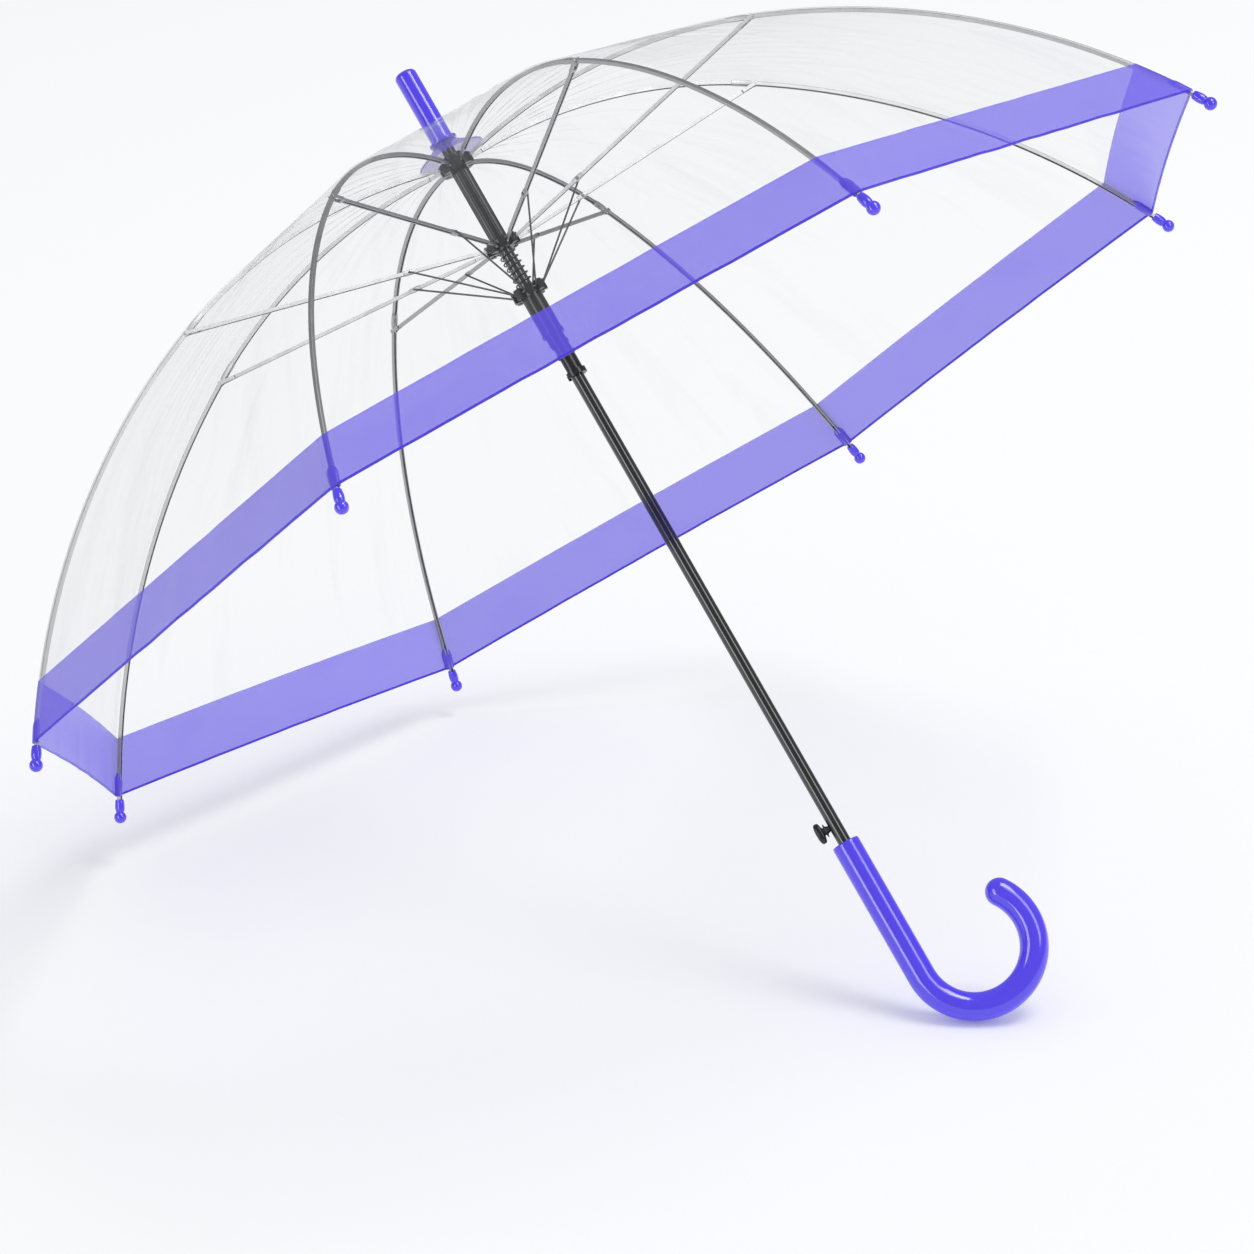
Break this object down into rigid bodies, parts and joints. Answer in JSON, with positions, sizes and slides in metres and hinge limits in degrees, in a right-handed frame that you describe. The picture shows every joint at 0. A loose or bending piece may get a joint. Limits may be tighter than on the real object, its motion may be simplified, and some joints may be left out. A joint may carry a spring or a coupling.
{
  "type": "stick umbrella",
  "caption": "Automatic stick umbrella with a clear domed canopy, violet trim, steel ribs on two sliding runners, black shaft, ferrule and hooked handle.",
  "frame": {"origin": "on the shaft's axis, level with the lowest point of the hook", "axes": "+Z along the shaft towards the ferrule, +X towards the hook's open side, button on -X"},
  "size_m": [0.9334, 0.9334, 0.817],
  "materials": {
    "violet_plastic": "gloss moulded plastic",
    "violet_film": "translucent violet film",
    "clear_film": "clear PVC film",
    "black_paint": "gloss black paint on steel tube",
    "black_plastic": "satin moulded plastic",
    "rib_steel": "dark plated steel strip",
    "spring_steel": "drawn spring wire"
  },
  "bodies": {
    "root": {"shaft": "black_paint", "grip": "violet_plastic", "crown": "black_plastic", "crown_wire": "spring_steel", "ferrule": "violet_plastic", "ferrule_skirt": "violet_film", "stop_sleeve": "black_plastic", "latch_spring": "spring_steel"},
    "upper_runner": {"upper_runner": "black_plastic", "coil_spring": "spring_steel"},
    "lower_runner": {"lower_runner": "black_plastic"},
    "button": {"button": "black_plastic"},
    "rib_inner_1": {"rib_inner_1": "rib_steel"},
    "rib_outer_1": {"rib_outer_1": "rib_steel", "rib_tip_1": "violet_plastic", "canopy_panel_1": "clear_film"},
    "stretcher_1": {"stretcher_1": "rib_steel"},
    "spring_wire_1": {"spring_wire_1": "spring_steel"},
    "rib_inner_2": {"rib_inner_2": "rib_steel"},
    "rib_outer_2": {"rib_outer_2": "rib_steel", "rib_tip_2": "violet_plastic", "canopy_panel_2": "clear_film"},
    "stretcher_2": {"stretcher_2": "rib_steel"},
    "spring_wire_2": {"spring_wire_2": "spring_steel"},
    "rib_inner_3": {"rib_inner_3": "rib_steel"},
    "rib_outer_3": {"rib_outer_3": "rib_steel", "rib_tip_3": "violet_plastic", "canopy_panel_3": "clear_film"},
    "stretcher_3": {"stretcher_3": "rib_steel"},
    "spring_wire_3": {"spring_wire_3": "spring_steel"},
    "rib_inner_4": {"rib_inner_4": "rib_steel"},
    "rib_outer_4": {"rib_outer_4": "rib_steel", "rib_tip_4": "violet_plastic", "canopy_panel_4": "clear_film"},
    "stretcher_4": {"stretcher_4": "rib_steel"},
    "spring_wire_4": {"spring_wire_4": "spring_steel"},
    "rib_inner_5": {"rib_inner_5": "rib_steel"},
    "rib_outer_5": {"rib_outer_5": "rib_steel", "rib_tip_5": "violet_plastic", "canopy_panel_5": "clear_film"},
    "stretcher_5": {"stretcher_5": "rib_steel"},
    "spring_wire_5": {"spring_wire_5": "spring_steel"},
    "rib_inner_6": {"rib_inner_6": "rib_steel"},
    "rib_outer_6": {"rib_outer_6": "rib_steel", "rib_tip_6": "violet_plastic", "canopy_panel_6": "clear_film"},
    "stretcher_6": {"stretcher_6": "rib_steel"},
    "spring_wire_6": {"spring_wire_6": "spring_steel"},
    "rib_inner_7": {"rib_inner_7": "rib_steel"},
    "rib_outer_7": {"rib_outer_7": "rib_steel", "rib_tip_7": "violet_plastic", "canopy_panel_7": "clear_film"},
    "stretcher_7": {"stretcher_7": "rib_steel"},
    "spring_wire_7": {"spring_wire_7": "spring_steel"},
    "rib_inner_8": {"rib_inner_8": "rib_steel"},
    "rib_outer_8": {"rib_outer_8": "rib_steel", "rib_tip_8": "violet_plastic", "canopy_panel_8": "clear_film"},
    "stretcher_8": {"stretcher_8": "rib_steel"},
    "spring_wire_8": {"spring_wire_8": "spring_steel"}
  },
  "joints": [
    {"name": "canopy_slide", "type": "slide", "parent": "root", "child": "upper_runner", "axis": [0, 0, -1], "range_m": [0, 0.4119], "stiffness_N_per_m": 60, "springref_m": -0.5, "deforming": ["coil_spring"]},
    {"name": "lower_runner_slide", "type": "slide", "parent": "root", "child": "lower_runner", "axis": [0, 0, -1], "range_m": [0, 0.38792]},
    {"name": "button_push", "type": "slide", "parent": "root", "child": "button", "axis": [1, 0, 0], "range_m": [0, 0.0022], "stiffness_N_per_m": 500, "springref_m": -0.002, "deforming": ["latch_spring"]},
    {"name": "rib_fold_1", "type": "hinge", "parent": "root", "child": "rib_inner_1", "pos_m": [0.01016, 0.00421, 0.7375], "axis": [-0.3827, 0.9239, 0], "range_deg": [0, 77.63]},
    {"name": "rib_flex_1", "type": "hinge", "parent": "rib_inner_1", "child": "rib_outer_1", "pos_m": [0.23097, 0.09567, 0.7025], "axis": [-0.3827, 0.9239, 0], "range_deg": [-30.03, 0], "deforming": ["canopy_panel_1"]},
    {"name": "stretcher_fold_1", "type": "hinge", "parent": "rib_inner_1", "child": "stretcher_1", "pos_m": [0.23097, 0.09567, 0.7025], "axis": [-0.3827, 0.9239, 0], "range_deg": [-155.27, 0]},
    {"name": "wire_fold_1", "type": "hinge", "parent": "stretcher_1", "child": "spring_wire_1", "pos_m": [0.0705, 0.0292, 0.67706], "axis": [-0.3827, 0.9239, 0], "range_deg": [0, 28.08]},
    {"name": "rib_fold_2", "type": "hinge", "parent": "root", "child": "rib_inner_2", "pos_m": [0.00421, 0.01016, 0.7375], "axis": [-0.9239, 0.3827, 0], "range_deg": [0, 77.63]},
    {"name": "rib_flex_2", "type": "hinge", "parent": "rib_inner_2", "child": "rib_outer_2", "pos_m": [0.09567, 0.23097, 0.7025], "axis": [-0.9239, 0.3827, 0], "range_deg": [-30.03, 0], "deforming": ["canopy_panel_2"]},
    {"name": "stretcher_fold_2", "type": "hinge", "parent": "rib_inner_2", "child": "stretcher_2", "pos_m": [0.09567, 0.23097, 0.7025], "axis": [-0.9239, 0.3827, 0], "range_deg": [-155.27, 0]},
    {"name": "wire_fold_2", "type": "hinge", "parent": "stretcher_2", "child": "spring_wire_2", "pos_m": [0.0292, 0.0705, 0.67706], "axis": [-0.9239, 0.3827, 0], "range_deg": [0, 28.08]},
    {"name": "rib_fold_3", "type": "hinge", "parent": "root", "child": "rib_inner_3", "pos_m": [-0.00421, 0.01016, 0.7375], "axis": [-0.9239, -0.3827, 0], "range_deg": [0, 77.63]},
    {"name": "rib_flex_3", "type": "hinge", "parent": "rib_inner_3", "child": "rib_outer_3", "pos_m": [-0.09567, 0.23097, 0.7025], "axis": [-0.9239, -0.3827, 0], "range_deg": [-30.03, 0], "deforming": ["canopy_panel_3"]},
    {"name": "stretcher_fold_3", "type": "hinge", "parent": "rib_inner_3", "child": "stretcher_3", "pos_m": [-0.09567, 0.23097, 0.7025], "axis": [-0.9239, -0.3827, 0], "range_deg": [-155.27, 0]},
    {"name": "wire_fold_3", "type": "hinge", "parent": "stretcher_3", "child": "spring_wire_3", "pos_m": [-0.0292, 0.0705, 0.67706], "axis": [-0.9239, -0.3827, 0], "range_deg": [0, 28.08]},
    {"name": "rib_fold_4", "type": "hinge", "parent": "root", "child": "rib_inner_4", "pos_m": [-0.01016, 0.00421, 0.7375], "axis": [-0.3827, -0.9239, 0], "range_deg": [0, 77.63]},
    {"name": "rib_flex_4", "type": "hinge", "parent": "rib_inner_4", "child": "rib_outer_4", "pos_m": [-0.23097, 0.09567, 0.7025], "axis": [-0.3827, -0.9239, 0], "range_deg": [-30.03, 0], "deforming": ["canopy_panel_4"]},
    {"name": "stretcher_fold_4", "type": "hinge", "parent": "rib_inner_4", "child": "stretcher_4", "pos_m": [-0.23097, 0.09567, 0.7025], "axis": [-0.3827, -0.9239, 0], "range_deg": [-155.27, 0]},
    {"name": "wire_fold_4", "type": "hinge", "parent": "stretcher_4", "child": "spring_wire_4", "pos_m": [-0.0705, 0.0292, 0.67706], "axis": [-0.3827, -0.9239, 0], "range_deg": [0, 28.08]},
    {"name": "rib_fold_5", "type": "hinge", "parent": "root", "child": "rib_inner_5", "pos_m": [-0.01016, -0.00421, 0.7375], "axis": [0.3827, -0.9239, 0], "range_deg": [0, 77.63]},
    {"name": "rib_flex_5", "type": "hinge", "parent": "rib_inner_5", "child": "rib_outer_5", "pos_m": [-0.23097, -0.09567, 0.7025], "axis": [0.3827, -0.9239, 0], "range_deg": [-30.03, 0], "deforming": ["canopy_panel_5"]},
    {"name": "stretcher_fold_5", "type": "hinge", "parent": "rib_inner_5", "child": "stretcher_5", "pos_m": [-0.23097, -0.09567, 0.7025], "axis": [0.3827, -0.9239, 0], "range_deg": [-155.27, 0]},
    {"name": "wire_fold_5", "type": "hinge", "parent": "stretcher_5", "child": "spring_wire_5", "pos_m": [-0.0705, -0.0292, 0.67706], "axis": [0.3827, -0.9239, 0], "range_deg": [0, 28.08]},
    {"name": "rib_fold_6", "type": "hinge", "parent": "root", "child": "rib_inner_6", "pos_m": [-0.00421, -0.01016, 0.7375], "axis": [0.9239, -0.3827, 0], "range_deg": [0, 77.63]},
    {"name": "rib_flex_6", "type": "hinge", "parent": "rib_inner_6", "child": "rib_outer_6", "pos_m": [-0.09567, -0.23097, 0.7025], "axis": [0.9239, -0.3827, 0], "range_deg": [-30.03, 0], "deforming": ["canopy_panel_6"]},
    {"name": "stretcher_fold_6", "type": "hinge", "parent": "rib_inner_6", "child": "stretcher_6", "pos_m": [-0.09567, -0.23097, 0.7025], "axis": [0.9239, -0.3827, 0], "range_deg": [-155.27, 0]},
    {"name": "wire_fold_6", "type": "hinge", "parent": "stretcher_6", "child": "spring_wire_6", "pos_m": [-0.0292, -0.0705, 0.67706], "axis": [0.9239, -0.3827, 0], "range_deg": [0, 28.08]},
    {"name": "rib_fold_7", "type": "hinge", "parent": "root", "child": "rib_inner_7", "pos_m": [0.00421, -0.01016, 0.7375], "axis": [0.9239, 0.3827, 0], "range_deg": [0, 77.63]},
    {"name": "rib_flex_7", "type": "hinge", "parent": "rib_inner_7", "child": "rib_outer_7", "pos_m": [0.09567, -0.23097, 0.7025], "axis": [0.9239, 0.3827, 0], "range_deg": [-30.03, 0], "deforming": ["canopy_panel_7"]},
    {"name": "stretcher_fold_7", "type": "hinge", "parent": "rib_inner_7", "child": "stretcher_7", "pos_m": [0.09567, -0.23097, 0.7025], "axis": [0.9239, 0.3827, 0], "range_deg": [-155.27, 0]},
    {"name": "wire_fold_7", "type": "hinge", "parent": "stretcher_7", "child": "spring_wire_7", "pos_m": [0.0292, -0.0705, 0.67706], "axis": [0.9239, 0.3827, 0], "range_deg": [0, 28.08]},
    {"name": "rib_fold_8", "type": "hinge", "parent": "root", "child": "rib_inner_8", "pos_m": [0.01016, -0.00421, 0.7375], "axis": [0.3827, 0.9239, 0], "range_deg": [0, 77.63]},
    {"name": "rib_flex_8", "type": "hinge", "parent": "rib_inner_8", "child": "rib_outer_8", "pos_m": [0.23097, -0.09567, 0.7025], "axis": [0.3827, 0.9239, 0], "range_deg": [-30.03, 0], "deforming": ["canopy_panel_8"]},
    {"name": "stretcher_fold_8", "type": "hinge", "parent": "rib_inner_8", "child": "stretcher_8", "pos_m": [0.23097, -0.09567, 0.7025], "axis": [0.3827, 0.9239, 0], "range_deg": [-155.27, 0]},
    {"name": "wire_fold_8", "type": "hinge", "parent": "stretcher_8", "child": "spring_wire_8", "pos_m": [0.0705, -0.0292, 0.67706], "axis": [0.3827, 0.9239, 0], "range_deg": [0, 28.08]}
  ],
  "couplings": [
    {"joint": "lower_runner_slide", "follows": "canopy_slide", "ratio": 0.94177},
    {"joint": "rib_fold_1", "follows": "canopy_slide", "rad_per_m": 3.2895},
    {"joint": "rib_flex_1", "follows": "canopy_slide", "rad_per_m": -1.2723},
    {"joint": "stretcher_fold_1", "follows": "canopy_slide", "rad_per_m": -6.579},
    {"joint": "wire_fold_1", "follows": "canopy_slide", "rad_per_m": 1.1897},
    {"joint": "rib_fold_2", "follows": "canopy_slide", "rad_per_m": 3.2895},
    {"joint": "rib_flex_2", "follows": "canopy_slide", "rad_per_m": -1.2723},
    {"joint": "stretcher_fold_2", "follows": "canopy_slide", "rad_per_m": -6.579},
    {"joint": "wire_fold_2", "follows": "canopy_slide", "rad_per_m": 1.1897},
    {"joint": "rib_fold_3", "follows": "canopy_slide", "rad_per_m": 3.2895},
    {"joint": "rib_flex_3", "follows": "canopy_slide", "rad_per_m": -1.2723},
    {"joint": "stretcher_fold_3", "follows": "canopy_slide", "rad_per_m": -6.579},
    {"joint": "wire_fold_3", "follows": "canopy_slide", "rad_per_m": 1.1897},
    {"joint": "rib_fold_4", "follows": "canopy_slide", "rad_per_m": 3.2895},
    {"joint": "rib_flex_4", "follows": "canopy_slide", "rad_per_m": -1.2723},
    {"joint": "stretcher_fold_4", "follows": "canopy_slide", "rad_per_m": -6.579},
    {"joint": "wire_fold_4", "follows": "canopy_slide", "rad_per_m": 1.1897},
    {"joint": "rib_fold_5", "follows": "canopy_slide", "rad_per_m": 3.2895},
    {"joint": "rib_flex_5", "follows": "canopy_slide", "rad_per_m": -1.2723},
    {"joint": "stretcher_fold_5", "follows": "canopy_slide", "rad_per_m": -6.579},
    {"joint": "wire_fold_5", "follows": "canopy_slide", "rad_per_m": 1.1897},
    {"joint": "rib_fold_6", "follows": "canopy_slide", "rad_per_m": 3.2895},
    {"joint": "rib_flex_6", "follows": "canopy_slide", "rad_per_m": -1.2723},
    {"joint": "stretcher_fold_6", "follows": "canopy_slide", "rad_per_m": -6.579},
    {"joint": "wire_fold_6", "follows": "canopy_slide", "rad_per_m": 1.1897},
    {"joint": "rib_fold_7", "follows": "canopy_slide", "rad_per_m": 3.2895},
    {"joint": "rib_flex_7", "follows": "canopy_slide", "rad_per_m": -1.2723},
    {"joint": "stretcher_fold_7", "follows": "canopy_slide", "rad_per_m": -6.579},
    {"joint": "wire_fold_7", "follows": "canopy_slide", "rad_per_m": 1.1897},
    {"joint": "rib_fold_8", "follows": "canopy_slide", "rad_per_m": 3.2895},
    {"joint": "rib_flex_8", "follows": "canopy_slide", "rad_per_m": -1.2723},
    {"joint": "stretcher_fold_8", "follows": "canopy_slide", "rad_per_m": -6.579},
    {"joint": "wire_fold_8", "follows": "canopy_slide", "rad_per_m": 1.1897}
  ]
}
